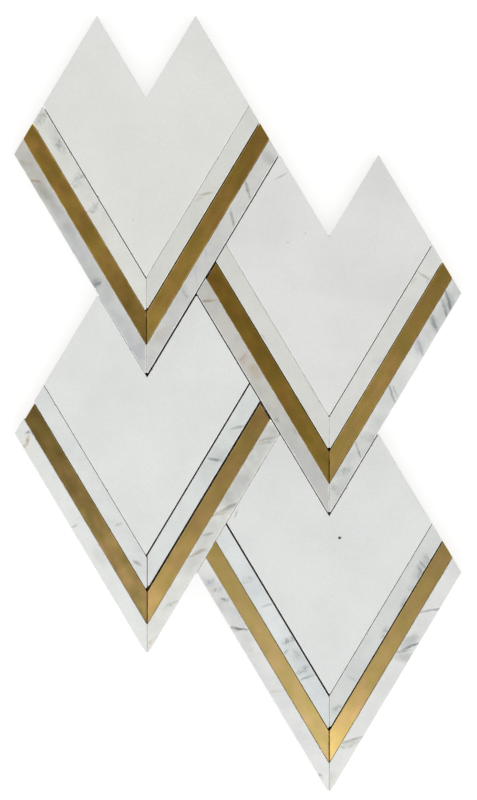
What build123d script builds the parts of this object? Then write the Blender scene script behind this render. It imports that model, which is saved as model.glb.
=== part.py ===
from build123d import *
import math
import os

# A sheet of mosaic for walls and floors: four like chevron units, interlocked and held on one mesh.
# Each unit has two peaks with a notch between them at the top and one point at the bottom.
# A plain white field fills it, and three V strips line its point: stone, brass and stone.
# Millimetres. The sheet lies on its back: +Z is the finished face, +Y the peaks, +X the width.

# Sizes of a unit
EDGE_SLOPE = 59.1
UPPER_SIDE = 100.0
NOTCH_SIDE = 59.5
OUTER_WIDTH = 9.6
BRASS_WIDTH = 9.9
INNER_WIDTH = 10.4
PIECE_HEIGHT = 9.5

# Sizes of the mesh that the pieces are bonded to
MESH_HEIGHT = 0.5
MESH_MARGIN = 2.5

# Joints between the units, and at the mitres of the outer borders and of the brass bars
UNIT_JOINT = 0.6
BORDER_MITRE = 0.2
BRASS_MITRE = 0.5

# Worn or eased edges: a bevel round the finished face, and blunted sharp points
STONE_BEVEL = 0.35
BRASS_BEVEL = 0.2
STRIP_BLUNT = 1.5
FIELD_BLUNT = 0.7

# Joints across the strips as each half of a unit is laid, from the outer strip inwards:
# outer border to brass, brass to inner border, inner border to field
LAID_JOINTS = {
    "a": {"left": (0.2, 0.4, 0.55), "right": (0.35, 0.8, 0.2)},
    "b": {"left": (0.2, 0.7, 0.2), "right": (0.35, 0.6, 0.5)},
    "c": {"left": (0.3, 0.5, 0.35), "right": (0.2, 1.3, 0.95)},
    "d": {"left": (0.2, 0.4, 1.1), "right": (0.2, 0.8, 0.4)},
}

# How much shorter each brass bar is cut, at the unit's side, than the borders beside it
BAR_CUTS = {
    "a": {"left": 0.0, "right": 0.0},
    "b": {"left": 0.8, "right": 0.0},
    "c": {"left": 0.9, "right": 0.9},
    "d": {"left": 0.0, "right": 0.0},
}

# Joints at the mitres of the inner borders as they are laid
INNER_MITRES = {"a": 0.2, "b": 0.2, "c": 0.5, "d": 0.3}

# How far each unit sits from its even place, in shares of a unit joint: up-left, then up-right
LAID_SHIFTS = {
    "a": (0.5, -0.4),
    "b": (0.33, 0.4),
    "c": (-0.33, 0.25),
    "d": (0.33, 0.5),
}

# Worked out from the sizes above. Every plan position is given as two runs along the sawn edges,
# the first going up-left and the second up-right from a unit's bottom point.
SLOPE = math.radians(EDGE_SLOPE)
LONG_SIDE = UPPER_SIDE + NOTCH_SIDE


def run(width):
    """Length along one sawn edge that makes a strip of this width along the other."""
    return width / math.sin(2 * SLOPE)


def at(up_left, up_right):
    """Plan position of a pair of runs."""
    x = (up_right - up_left) * math.cos(SLOPE)
    y = (up_left + up_right) * math.sin(SLOPE)
    return (x, y)


def blunted(corners, setbacks):
    """The outline with some corners cut off, each by its setback along both of its edges."""
    outline = []
    for index, corner in enumerate(corners):
        setback = setbacks.get(index, 0)
        if setback == 0:
            outline.append(corner)
            continue
        for other in (corners[index - 1], corners[(index + 1) % len(corners)]):
            length = math.dist(corner, other)
            x = corner[0] + (other[0] - corner[0]) * setback / length
            y = corner[1] + (other[1] - corner[1]) * setback / length
            outline.append((x, y))
    return outline


def tile(outline, bevel):
    """A piece sawn to an outline, standing on the mesh, with a bevel round its finished face."""
    points = [(x, y, MESH_HEIGHT) for x, y in outline]
    face = make_face(Polyline(*points, close=True))
    block = extrude(face, amount=PIECE_HEIGHT, dir=(0, 0, 1))
    top = block.faces().sort_by(Axis.Z)[-1]
    return chamfer(top.edges(), bevel)


def strip(start, width, mitre, bevel, blunt, side, cut=0.0):
    """One half of a V strip, from its mitre on the unit's centre line to the unit's side, less a cut."""
    end = start + run(width)
    clear = mitre / (2 * math.cos(SLOPE))
    reach = LONG_SIDE - cut
    runs = [(start + clear, start), (reach, start), (reach, end), (end + clear, end)]
    if side == "right":
        runs = [(second, first) for first, second in runs]
    corners = [at(first, second) for first, second in runs]
    return tile(blunted(corners, {0: blunt}), bevel)


def unit(letter):
    """The seven pieces of one unit, with the unit's bottom point at the origin."""
    pieces = {}
    field_start = {}
    for side in ("left", "right"):
        to_brass, to_inner, to_field = LAID_JOINTS[letter][side]
        brass = OUTER_WIDTH + to_brass
        inner = brass + BRASS_WIDTH + to_inner
        field = inner + INNER_WIDTH + to_field
        pieces[f"outer_border_{side}_{letter}"] = strip(
            0, OUTER_WIDTH, BORDER_MITRE, STONE_BEVEL, STRIP_BLUNT, side)
        pieces[f"brass_bar_{side}_{letter}"] = strip(
            run(brass), BRASS_WIDTH, BRASS_MITRE, BRASS_BEVEL, 0, side, BAR_CUTS[letter][side])
        pieces[f"inner_border_{side}_{letter}"] = strip(
            run(inner), INNER_WIDTH, INNER_MITRES[letter], STONE_BEVEL, STRIP_BLUNT, side)
        field_start[side] = run(field)
    low_left = field_start["left"]
    low_right = field_start["right"]
    runs = [
        (low_right, low_left),
        (LONG_SIDE, low_left),
        (LONG_SIDE, UPPER_SIDE),
        (UPPER_SIDE, UPPER_SIDE),
        (UPPER_SIDE, LONG_SIDE),
        (low_right, LONG_SIDE),
    ]
    corners = [at(first, second) for first, second in runs]
    outline = blunted(corners, {0: FIELD_BLUNT, 2: FIELD_BLUNT, 4: FIELD_BLUNT})
    pieces[f"white_field_{letter}"] = tile(outline, STONE_BEVEL)
    return pieces


# The lattice: the point of one unit sits in the notch of the next, and the columns interlock
JOINT_RUN = run(UNIT_JOINT)
DOWN = UPPER_SIDE + JOINT_RUN
ACROSS = LONG_SIDE + JOINT_RUN
PLACES = {
    "a": (0, 0),
    "b": (-ACROSS, NOTCH_SIDE),
    "c": (-DOWN, -DOWN),
    "d": (-ACROSS - DOWN, NOTCH_SIDE - DOWN),
}


def backing():
    """The mesh: a thin sheet behind the whole outline, kept back from its edges."""
    inset = run(MESH_MARGIN)
    notch_b = -NOTCH_SIDE - JOINT_RUN
    peak_d = 2 * NOTCH_SIDE - JOINT_RUN
    point_d = -ACROSS - DOWN
    runs = [
        (LONG_SIDE - inset, UPPER_SIDE - inset),
        (UPPER_SIDE - inset, UPPER_SIDE - inset),
        (UPPER_SIDE - inset, LONG_SIDE - inset),
        (notch_b - inset, LONG_SIDE - inset),
        (notch_b - inset, LONG_SIDE + NOTCH_SIDE - inset),
        (-ACROSS + inset, LONG_SIDE + NOTCH_SIDE - inset),
        (-ACROSS + inset, peak_d - inset),
        (point_d + inset, peak_d - inset),
        (point_d + inset, NOTCH_SIDE - DOWN + inset),
        (-DOWN + inset, NOTCH_SIDE - DOWN + inset),
        (-DOWN + inset, -DOWN + inset),
        (NOTCH_SIDE - JOINT_RUN - inset, -DOWN + inset),
        (NOTCH_SIDE - JOINT_RUN - inset, inset),
        (LONG_SIDE - inset, inset),
    ]
    points = [at(first, second) for first, second in runs]
    face = make_face(Polyline(*points, close=True))
    return extrude(face, amount=MESH_HEIGHT, dir=(0, 0, 1))


nodes = {"mesh_backing": backing()}
for letter, (up_left, up_right) in PLACES.items():
    shift_left, shift_right = LAID_SHIFTS[letter]
    x, y = at(up_left + shift_left * JOINT_RUN, up_right + shift_right * JOINT_RUN)
    for name, piece in unit(letter).items():
        nodes[name] = Pos(x, y, 0) * piece

# The origin is under the middle of the sheet, on the face of the mesh that goes into the mortar
boxes = [piece.bounding_box() for piece in nodes.values()]
middle_x = (min(box.min.X for box in boxes) + max(box.max.X for box in boxes)) / 2
middle_y = (min(box.min.Y for box in boxes) + max(box.max.Y for box in boxes)) / 2

os.makedirs("parts", exist_ok=True)
for name, piece in nodes.items():
    export_step(Pos(-middle_x, -middle_y, 0) * piece, f"parts/{name}.step")
print("sheet", round(2 * (max(box.max.X for box in boxes) - middle_x), 2),
      round(2 * (max(box.max.Y for box in boxes) - middle_y), 2), MESH_HEIGHT + PIECE_HEIGHT)
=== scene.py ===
"""Dresses the mosaic sheet: sawn stone and brass pieces on a glass-fibre net, on a plain studio floor."""
import logging
import math
import random
from dataclasses import dataclass, field
from enum import Enum
from typing import Any

import bmesh
import bpy
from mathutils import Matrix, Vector, noise


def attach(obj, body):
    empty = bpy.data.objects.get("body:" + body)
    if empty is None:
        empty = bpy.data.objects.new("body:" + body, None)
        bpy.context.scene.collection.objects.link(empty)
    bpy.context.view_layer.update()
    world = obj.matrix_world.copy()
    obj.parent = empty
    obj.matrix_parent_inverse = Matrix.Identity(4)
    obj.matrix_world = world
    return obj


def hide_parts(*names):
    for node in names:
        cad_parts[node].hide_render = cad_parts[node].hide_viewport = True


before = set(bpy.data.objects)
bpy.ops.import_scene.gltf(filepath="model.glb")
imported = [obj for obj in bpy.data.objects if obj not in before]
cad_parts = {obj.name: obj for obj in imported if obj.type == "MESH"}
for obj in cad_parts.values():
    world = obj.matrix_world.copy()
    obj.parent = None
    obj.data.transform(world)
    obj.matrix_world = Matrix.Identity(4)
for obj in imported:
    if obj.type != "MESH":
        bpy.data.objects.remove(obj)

Tree = bpy.types.NodeTree
Socket = bpy.types.NodeSocket

MM = 0.001
LOG = logging.getLogger("mosaic_sheet")
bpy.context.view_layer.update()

# the four units of the sheet
LETTERS = "abcd"

# nearly all values of a noise lie between these
NOISE_LOW = 0.3
NOISE_HIGH = 0.7

# how far up a surface points: 0 on a sawn side, about 0.7 on an eased edge and 1 on the worked face
SIDE_UP = 0.1
EDGE_UP = 0.3
EASED_UP = 0.9
FACE_UP = 0.97

# the look of sawn sides and of ground edges: painted shade on the sawn sides, their roughness, and a
# painted highlight on the eased edges that is partly the real white of crushed crystals
PAINTED_SIDE_SHADE = 0.68
SAWN_ROUGHNESS = 0.7
CRUSHED_WHITE_AND_HIGHLIGHT = "eaeae7"


def linear(code: str) -> tuple[float, float, float, float]:
    """Turns an sRGB hex colour into linear values.

    Args:
        code: Six hex digits, without a leading mark.

    Returns:
        Linear red, green, blue and an alpha of one.
    """
    parts = [int(code[start:start + 2], 16) / 255 for start in (0, 2, 4)]
    low = [part / 12.92 if part <= 0.04045 else ((part + 0.055) / 1.055) ** 2.4 for part in parts]
    return (low[0], low[1], low[2], 1.0)


def add_node(tree: Tree, kind: str, inputs: dict[Any, Any] | None = None,
             **settings: Any) -> bpy.types.Node:
    """Adds one node to a tree.

    Args:
        tree: The node tree that takes the node.
        kind: The node's type name.
        inputs: Socket name or number to a value, or to the output socket that feeds it.
        **settings: Attributes of the node itself.

    Returns:
        The new node.
    """
    made = tree.nodes.new(kind)
    for name, value in settings.items():
        setattr(made, name, value)
    for key, value in (inputs or {}).items():
        if isinstance(value, Socket):
            tree.links.new(value, made.inputs[key])
        else:
            made.inputs[key].default_value = value
    return made


def new_finish(name: str) -> tuple[bpy.types.Material, Tree, bpy.types.Node]:
    """Starts a material.

    Args:
        name: Name of the material.

    Returns:
        The material, its node tree and its shader.
    """
    made = bpy.data.materials.new(name)
    made.use_nodes = True
    return made, made.node_tree, made.node_tree.nodes["Principled BSDF"]


class Side(Enum):
    """Which half of a unit a strip lies on."""

    LEFT = "left"
    RIGHT = "right"


class Band(Enum):
    """The three V strips of a unit, from its edge inwards."""

    OUTER = "outer_border"
    BRASS = "brass_bar"
    INNER = "inner_border"


class Tint(Enum):
    """Colours that the veins and marks of the stone take."""

    DARK = "5c6264"
    GREY = "7f8687"
    MIST = "9fa7a4"
    LILAC = "b3b5c2"
    OLIVE = "9a9a82"
    TAN = "b49d78"
    BROWN = "9a8065"
    ROSE = "b29a91"
    PIT = "3d3b38"


@dataclass(frozen=True)
class Vein:
    """One vein, clot or cloud of colour in the stone.

    Attributes:
        x: Place across the sheet, in mm from its middle.
        y: Place along the sheet, in mm from its middle.
        heading: Way that it runs, in degrees from the sheet's width.
        length: Length in mm.
        width: Width in mm.
        tint: Its colour.
        depth: How strongly it colours the stone, from 0 to 1. More than 1 gives it a hard edge.
    """

    # a vein bends over this many mm
    BEND = 7.0
    # it fades out over its outer part, and the grain that breaks it up takes some of its strength
    DRAWN_LENGTH = 0.8
    DRAWN_WIDTH = 0.85
    ADDED_WIDTH = 0.25
    FULL_AT = 0.75
    STRENGTH = 1.15

    x: float
    y: float
    heading: float
    length: float
    width: float
    tint: Tint
    depth: float

    def drawn_size(self) -> tuple[float, float, float]:
        """Half of its length and width up to where nothing of it is left, in metres."""
        across = self.width * self.DRAWN_WIDTH + self.ADDED_WIDTH
        return (self.length * self.DRAWN_LENGTH * MM, across * MM, 1.0)


def vein_coordinates(tree: Tree, drift: float) -> Socket:
    """Object coordinates that wander a little, so that what is drawn on them looks grown.

    Args:
        tree: The material's node tree.
        drift: How far a point may wander, in mm.

    Returns:
        The socket of the wandering position.
    """
    place = add_node(tree, "ShaderNodeTexCoord").outputs["Object"]
    broad = add_node(tree, "ShaderNodeTexNoise", {
        "Vector": place, "Scale": 1 / (Vein.BEND * MM), "Detail": 4.0, "Roughness": 0.65})
    centred = add_node(tree, "ShaderNodeVectorMath", {0: broad.outputs["Color"], 1: (0.5, 0.5, 0.5)},
                       operation="SUBTRACT")
    swing = add_node(tree, "ShaderNodeVectorMath", {0: centred.outputs[0], "Scale": 2 * drift * MM},
                     operation="SCALE")
    moved = add_node(tree, "ShaderNodeVectorMath", {0: place, 1: swing.outputs[0]}, operation="ADD")
    return moved.outputs[0]


def lay_vein(tree: Tree, stone: Socket, wander: Socket, grain: Socket, vein: Vein) -> Socket:
    """Draws one vein over a stone's colour.

    Args:
        tree: The material's node tree.
        stone: The colour so far.
        wander: Position that the vein is drawn on.
        grain: A broken pattern that thins the vein out.
        vein: The vein.

    Returns:
        The colour with the vein in it.
    """
    spot = add_node(tree, "ShaderNodeMapping", {
        "Vector": wander,
        "Location": (vein.x * MM, vein.y * MM, 0.0),
        "Rotation": (0.0, 0.0, math.radians(vein.heading)),
        "Scale": vein.drawn_size(),
    }, vector_type="TEXTURE")
    fade = add_node(tree, "ShaderNodeTexGradient", {"Vector": spot.outputs[0]}, gradient_type="SPHERICAL")
    soft = add_node(tree, "ShaderNodeMapRange", {"Value": fade.outputs["Fac"], "From Max": Vein.FULL_AT},
                    interpolation_type="SMOOTHSTEP")
    broken = add_node(tree, "ShaderNodeMath", {0: soft.outputs["Result"], 1: grain}, operation="MULTIPLY")
    amount = add_node(tree, "ShaderNodeMath", {0: broken.outputs[0], 1: Vein.STRENGTH * vein.depth},
                      operation="MULTIPLY", use_clamp=True)
    mixed = add_node(tree, "ShaderNodeMix", {0: amount.outputs[0], 6: stone, 7: linear(vein.tint.value)},
                     data_type="RGBA")
    return mixed.outputs[2]


def mottled(tree: Tree, pattern: Socket, span: tuple[float, float], first: str, second: str) -> Socket:
    """Mixes two colours along a noise.

    Args:
        tree: The material's node tree.
        pattern: The noise.
        span: Values of the noise at which the first colour ends and the second is full.
        first: The colour where the noise is low.
        second: The colour where it is high.

    Returns:
        The mixed colour.
    """
    soft = add_node(tree, "ShaderNodeMapRange", {
        "Value": pattern, "From Min": span[0], "From Max": span[1]})
    mixed = add_node(tree, "ShaderNodeMix", {
        0: soft.outputs["Result"], 6: linear(first), 7: linear(second)}, data_type="RGBA")
    return mixed.outputs[2]


def varied(tree: Tree, colour: Socket, pattern: Socket, low: float, high: float) -> Socket:
    """Lightens and darkens a colour along a noise.

    Args:
        tree: The material's node tree.
        colour: The colour so far.
        pattern: The noise.
        low: Share of the colour that is kept where the noise is low.
        high: Share that is kept where it is high.

    Returns:
        The varied colour.
    """
    share = add_node(tree, "ShaderNodeMapRange", {
        "Value": pattern, "From Min": NOISE_LOW, "From Max": NOISE_HIGH, "To Min": low, "To Max": high})
    scaled = add_node(tree, "ShaderNodeVectorMath", {0: colour, "Scale": share.outputs["Result"]},
                      operation="SCALE")
    return scaled.outputs[0]


def facing_up(tree: Tree) -> Socket:
    """How far up the surface points, from -1 to 1."""
    normal = add_node(tree, "ShaderNodeTexCoord").outputs["Normal"]
    return add_node(tree, "ShaderNodeSeparateXYZ", {0: normal}).outputs["Z"]


def sawn_roughness(tree: Tree, face: float) -> Socket:
    """Roughness that is low on the worked face and high on the sawn sides and back.

    Args:
        tree: The material's node tree.
        face: Roughness of the worked face.

    Returns:
        The roughness socket.
    """
    span = add_node(tree, "ShaderNodeMapRange", {
        "Value": facing_up(tree), "From Min": EDGE_UP, "From Max": EASED_UP,
        "To Min": SAWN_ROUGHNESS, "To Max": face})
    return span.outputs["Result"]


def painted_edge_light_and_side_shade(tree: Tree, stone: Socket) -> Socket:
    """Paints a highlight on the eased edges, partly the real white of crystals crushed by grinding, and
    paints shade on the sawn sides and back.

    Args:
        tree: The material's node tree.
        stone: The stone's colour.

    Returns:
        The colour with painted highlights on the edges and painted shade on the sides and back.
    """
    up = facing_up(tree)
    off_face = add_node(tree, "ShaderNodeMapRange", {
        "Value": up, "From Min": FACE_UP, "From Max": EASED_UP})
    off_side = add_node(tree, "ShaderNodeMapRange", {
        "Value": up, "From Min": SIDE_UP, "From Max": EDGE_UP})
    edge = add_node(tree, "ShaderNodeMath", {0: off_face.outputs["Result"], 1: off_side.outputs["Result"]},
                    operation="MULTIPLY")
    # painted shade: the sawn sides and back keep only part of the stone's colour
    shade = add_node(tree, "ShaderNodeMapRange", {
        "Value": off_side.outputs["Result"], "To Min": PAINTED_SIDE_SHADE, "To Max": 1.0})
    sides = add_node(tree, "ShaderNodeVectorMath", {0: stone, "Scale": shade.outputs["Result"]},
                     operation="SCALE")
    # painted highlight on the eased edges, partly the real white of crushed crystals
    mixed = add_node(tree, "ShaderNodeMix", {
        0: edge.outputs[0], 6: sides.outputs[0], 7: linear(CRUSHED_WHITE_AND_HIGHLIGHT)}, data_type="RGBA")
    return mixed.outputs[2]


@dataclass(frozen=True)
class HonedMarble:
    """Marble that is sawn and then ground to a satin face.

    Attributes:
        name: Name of the material.
        tone: Main colour.
        cloud: Colour of the clouds between the veins.
        veins: Veins and marks that show on the piece.
        shift: Where in the block the piece was cut from, in mm.
    """

    IOR = 1.49

    name: str
    tone: str
    cloud: str
    veins: tuple[Vein, ...]
    shift: float

    def lead(self, tree: Tree, shader: bpy.types.Node, colour: Socket, roughness: float) -> None:
        """Leads the stone's colour and gloss to its shader.

        Args:
            tree: The material's node tree.
            shader: Its shader.
            colour: Colour of the stone.
            roughness: Roughness of the worked face.
        """
        tree.links.new(painted_edge_light_and_side_shade(tree, colour), shader.inputs["Base Color"])
        tree.links.new(sawn_roughness(tree, roughness), shader.inputs["Roughness"])
        shader.inputs["IOR"].default_value = self.IOR


@dataclass(frozen=True)
class WhiteMarble(HonedMarble):
    """Honed white marble: an even, fine-grained white with faint clouds, specks and the odd pit."""

    CLOUD_SIZE = 45.0
    CLOUD_SPAN = (0.38, 0.7)
    # the crystals are finer than a pixel, so the grain is drawn at 1.2 mm
    GRAIN_SIZE = 1.2
    GRAIN_LOW = 0.965
    GRAIN_HIGH = 1.02
    DRIFT = 0.5
    ROUGHNESS = 0.38

    def material(self) -> bpy.types.Material:
        """Builds the material.

        Returns:
            The finished material.
        """
        made, tree, shader = new_finish(self.name)
        place = add_node(tree, "ShaderNodeTexCoord").outputs["Object"]
        block = add_node(tree, "ShaderNodeMapping", {
            "Vector": place, "Location": (self.shift * MM, 0.0, 0.0)}).outputs[0]
        haze = add_node(tree, "ShaderNodeTexNoise", {
            "Vector": block, "Scale": 1 / (self.CLOUD_SIZE * MM), "Detail": 3.0, "Roughness": 0.55})
        colour = mottled(tree, haze.outputs["Fac"], self.CLOUD_SPAN, self.tone, self.cloud)
        crystal = add_node(tree, "ShaderNodeTexNoise", {
            "Vector": block, "Scale": 1 / (self.GRAIN_SIZE * MM), "Detail": 2.0})
        colour = varied(tree, colour, crystal.outputs["Fac"], self.GRAIN_LOW, self.GRAIN_HIGH)
        if self.veins:
            wander = vein_coordinates(tree, self.DRIFT)
            for vein in self.veins:
                colour = lay_vein(tree, colour, wander, crystal.outputs["Fac"], vein)
        self.lead(tree, shader, colour, self.ROUGHNESS)
        return made


@dataclass(frozen=True)
class VeinedMarble(HonedMarble):
    """Honed white marble with grey, green-grey and tan veins that cross the narrow strips."""

    CLOUD_SIZE = 22.0
    CLOUD_SPAN = (0.36, 0.68)
    # the crystals are finer than a pixel, so the grain is drawn at 1.4 mm
    GRAIN_SIZE = 1.4
    GRAIN_LOW = 1.02
    GRAIN_HIGH = 0.955
    # the patterns that break up the strokes and the clots
    BREAK_SIZE = 4.0
    CRACK_SIZE = 5.0
    CRACK_WIDTH = 0.075
    BLOCK_SLANT = 0.7
    DRIFT = 1.5
    ROUGHNESS = 0.34
    # a vein narrower than the first is a stroke, one narrower than the second is a clot, others are clouds
    STROKE_WIDTH = 1.5
    CLOT_WIDTH = 5.0

    def material(self) -> bpy.types.Material:
        """Builds the material.

        Returns:
            The finished material.
        """
        made, tree, shader = new_finish(self.name)
        wander = vein_coordinates(tree, self.DRIFT)
        block = add_node(tree, "ShaderNodeMapping", {
            "Vector": wander,
            "Location": (self.shift * MM, self.shift * self.BLOCK_SLANT * MM, 0.0)}).outputs[0]
        haze = add_node(tree, "ShaderNodeTexNoise", {
            "Vector": block, "Scale": 1 / (self.CLOUD_SIZE * MM), "Detail": 5.0, "Roughness": 0.6})
        colour = mottled(tree, haze.outputs["Fac"], self.CLOUD_SPAN, self.tone, self.cloud)
        crystal = add_node(tree, "ShaderNodeTexNoise", {
            "Vector": block, "Scale": 1 / (self.GRAIN_SIZE * MM), "Detail": 3.0, "Roughness": 0.6})
        colour = varied(tree, colour, crystal.outputs["Fac"], self.GRAIN_LOW, self.GRAIN_HIGH)
        thin = add_node(tree, "ShaderNodeTexNoise", {
            "Vector": block, "Scale": 1 / (self.BREAK_SIZE * MM), "Detail": 4.0, "Roughness": 0.6})
        stroke = add_node(tree, "ShaderNodeMapRange", {
            "Value": thin.outputs["Fac"], "From Min": 0.35, "From Max": 0.6, "To Min": 0.5, "To Max": 1.0})
        # clots are small nets of fine lines, where a noise crosses its middle value
        crack = add_node(tree, "ShaderNodeTexNoise", {
            "Vector": block, "Scale": 1 / (self.CRACK_SIZE * MM), "Detail": 4.0, "Roughness": 0.55})
        middle = add_node(tree, "ShaderNodeMath", {0: crack.outputs["Fac"], 1: 0.5}, operation="SUBTRACT")
        away = add_node(tree, "ShaderNodeMath", {0: middle.outputs[0]}, operation="ABSOLUTE")
        clot = add_node(tree, "ShaderNodeMapRange", {
            "Value": away.outputs[0], "From Max": self.CRACK_WIDTH, "To Min": 1.25, "To Max": 0.3})
        cloud = add_node(tree, "ShaderNodeMapRange", {
            "Value": haze.outputs["Fac"], "From Min": 0.32, "From Max": 0.62,
            "To Min": 0.35, "To Max": 1.15})
        for vein in self.veins:
            broken = cloud
            if vein.width < self.STROKE_WIDTH:
                broken = stroke
            elif vein.width < self.CLOT_WIDTH:
                broken = clot
            colour = lay_vein(tree, colour, wander, broken.outputs["Result"], vein)
        self.lead(tree, shader, colour, self.ROUGHNESS)
        return made


@dataclass(frozen=True)
class BrushedBrass:
    """Brushed brass bar: a satin gold with fine lines along the bar, faint handling marks, a dull film and
    painted light and shade along its length.

    Attributes:
        name: Name of the material.
        heading: Way that the bar runs, in degrees from the sheet's width.
        shift: Where the marks lie along the bar, in mm.
        start: Place of the bar's mitred end along its own direction, in mm.
        tone: Main colour.
        mark: Colour of the handling marks.
        painted_light_along: Painted light and shade, partly the bar's own uneven tone: how much of its
            colour the bar keeps at its mitred end, near its middle and at its far end.
        clouding: How far the dull film on it changes its colour, as a share.
    """

    LENGTH = 160.0
    MIDDLE = 72.0
    # brush lines are about 0.1 mm apart, and are drawn at 0.7 mm so that they show
    LINE_SIZE = 0.7
    LINE_STRETCH = 0.02
    LINE_LOW = 0.985
    LINE_HIGH = 1.01
    MARK_SIZE = 11.0
    MARK_SPAN = (0.42, 0.66)
    FILM_SIZE = 9.0
    SMEAR = 0.7
    ROUGHNESS = (0.25, 0.27)
    SPREAD = 0.6
    # a quarter turn, so that the gloss spreads across the brush lines
    SPREAD_TURN = 0.25
    LINE_STRENGTH = 0.015
    LINE_DEPTH = 0.05

    name: str
    heading: float
    shift: float
    start: float
    tone: str
    mark: str
    painted_light_along: tuple[float, float, float]
    clouding: float

    def material(self) -> bpy.types.Material:
        """Builds the material.

        Returns:
            The finished material.
        """
        made, tree, shader = new_finish(self.name)
        place = add_node(tree, "ShaderNodeTexCoord").outputs["Object"]
        turned = add_node(tree, "ShaderNodeMapping", {
            "Vector": place, "Location": (self.shift * MM, 0.0, 0.0),
            "Rotation": (0.0, 0.0, math.radians(-self.heading))}).outputs[0]
        lines = add_node(tree, "ShaderNodeMapping", {
            "Vector": turned, "Scale": (self.LINE_STRETCH, 1.0, 1.0)})
        brush = add_node(tree, "ShaderNodeTexNoise", {
            "Vector": lines.outputs[0], "Scale": 1 / (self.LINE_SIZE * MM), "Detail": 3.0,
            "Roughness": 0.6}).outputs["Fac"]
        smear = add_node(tree, "ShaderNodeMapping", {"Vector": turned, "Scale": (self.SMEAR, 1.0, 1.0)})
        touch = add_node(tree, "ShaderNodeTexNoise", {
            "Vector": smear.outputs[0], "Scale": 1 / (self.MARK_SIZE * MM), "Detail": 5.0,
            "Roughness": 0.6})
        film = add_node(tree, "ShaderNodeTexNoise", {
            "Vector": smear.outputs[0], "Scale": 1 / (self.FILM_SIZE * MM), "Detail": 2.0})
        colour = mottled(tree, touch.outputs["Fac"], self.MARK_SPAN, self.tone, self.mark)
        colour = varied(tree, colour, brush, self.LINE_LOW, self.LINE_HIGH)
        colour = varied(tree, colour, film.outputs["Fac"], 1.0 - self.clouding, 1.0 + self.clouding)
        along = add_node(tree, "ShaderNodeSeparateXYZ", {0: turned}).outputs["X"]
        first = (self.start + self.shift) * MM
        middle = first + self.MIDDLE * MM
        last = first + self.LENGTH * MM
        near, centre, far = self.painted_light_along
        # painted light and shade: the bar's colour brightens and darkens along its length
        for low, high, before, after in ((first, middle, near, centre), (middle, last, 1.0, far / centre)):
            painted_light_share = add_node(tree, "ShaderNodeMapRange", {
                "Value": along, "From Min": low, "From Max": high, "To Min": before, "To Max": after})
            colour = add_node(tree, "ShaderNodeVectorMath", {0: colour, "Scale": painted_light_share.outputs["Result"]},
                              operation="SCALE").outputs[0]
        tree.links.new(colour, shader.inputs["Base Color"])
        smooth, rough = self.ROUGHNESS
        gloss = add_node(tree, "ShaderNodeMapRange", {
            "Value": brush, "From Min": NOISE_LOW, "From Max": NOISE_HIGH,
            "To Min": smooth, "To Max": rough})
        tree.links.new(gloss.outputs["Result"], shader.inputs["Roughness"])
        way = add_node(tree, "ShaderNodeTangent", direction_type="UV_MAP", uv_map=SawnPiece.GRAIN_MAP)
        tree.links.new(way.outputs["Tangent"], shader.inputs["Tangent"])
        shader.inputs["Anisotropic"].default_value = self.SPREAD
        shader.inputs["Anisotropic Rotation"].default_value = self.SPREAD_TURN
        bump = add_node(tree, "ShaderNodeBump", {
            "Strength": self.LINE_STRENGTH, "Distance": self.LINE_DEPTH * MM, "Height": brush})
        tree.links.new(bump.outputs["Normal"], shader.inputs["Normal"])
        shader.inputs["Metallic"].default_value = 1.0
        return made


@dataclass(frozen=True)
class GlassYarn:
    """Coated glass-fibre yarn: a matt, slightly grey white with fine filaments, with painted shade on it in
    the joints.

    Attributes:
        name: Name of the material.
        tone: Main colour.
        gap: Colour between the filaments.
        joint_painted_shade: Colour of the painted shade on the yarn in the joints.
    """

    # filaments are far finer than a pixel, and are drawn at 0.4 mm so that they show
    FILAMENT = 0.4
    FILAMENT_STRENGTH = 0.3
    FILAMENT_DEPTH = 0.05
    # painted shade is full where pieces within 2 mm leave the first share of the sky open, and ends at the
    # second
    SHADE_REACH = 2.0
    FULL_SHADE = 0.35
    NO_SHADE = 0.65
    ROUGHNESS = 0.62
    IOR = 1.52

    name: str = "glass_fibre_yarn"
    tone: str = "e6e6df"
    gap: str = "cfcfc6"
    joint_painted_shade: str = "5e5953"

    def material(self) -> bpy.types.Material:
        """Builds the material.

        Returns:
            The finished material.
        """
        made, tree, shader = new_finish(self.name)
        place = add_node(tree, "ShaderNodeTexCoord").outputs["Object"]
        fibre = add_node(tree, "ShaderNodeTexNoise", {
            "Vector": place, "Scale": 1 / (self.FILAMENT * MM), "Detail": 3.0}).outputs["Fac"]
        yarn = add_node(tree, "ShaderNodeMix", {0: fibre, 6: linear(self.tone), 7: linear(self.gap)},
                        data_type="RGBA")
        # painted shade darkens the yarn where the pieces close it in
        closed_in = add_node(tree, "ShaderNodeAmbientOcclusion", {"Distance": self.SHADE_REACH * MM},
                             samples=8)
        unshaded = add_node(tree, "ShaderNodeMapRange", {
            "Value": closed_in.outputs["AO"], "From Min": self.FULL_SHADE, "From Max": self.NO_SHADE})
        colour = add_node(tree, "ShaderNodeMix", {
            0: unshaded.outputs["Result"], 6: linear(self.joint_painted_shade), 7: yarn.outputs[2]}, data_type="RGBA")
        tree.links.new(colour.outputs[2], shader.inputs["Base Color"])
        bump = add_node(tree, "ShaderNodeBump", {
            "Strength": self.FILAMENT_STRENGTH, "Distance": self.FILAMENT_DEPTH * MM, "Height": fibre})
        tree.links.new(bump.outputs["Normal"], shader.inputs["Normal"])
        shader.inputs["Roughness"].default_value = self.ROUGHNESS
        shader.inputs["IOR"].default_value = self.IOR
        return made


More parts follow.
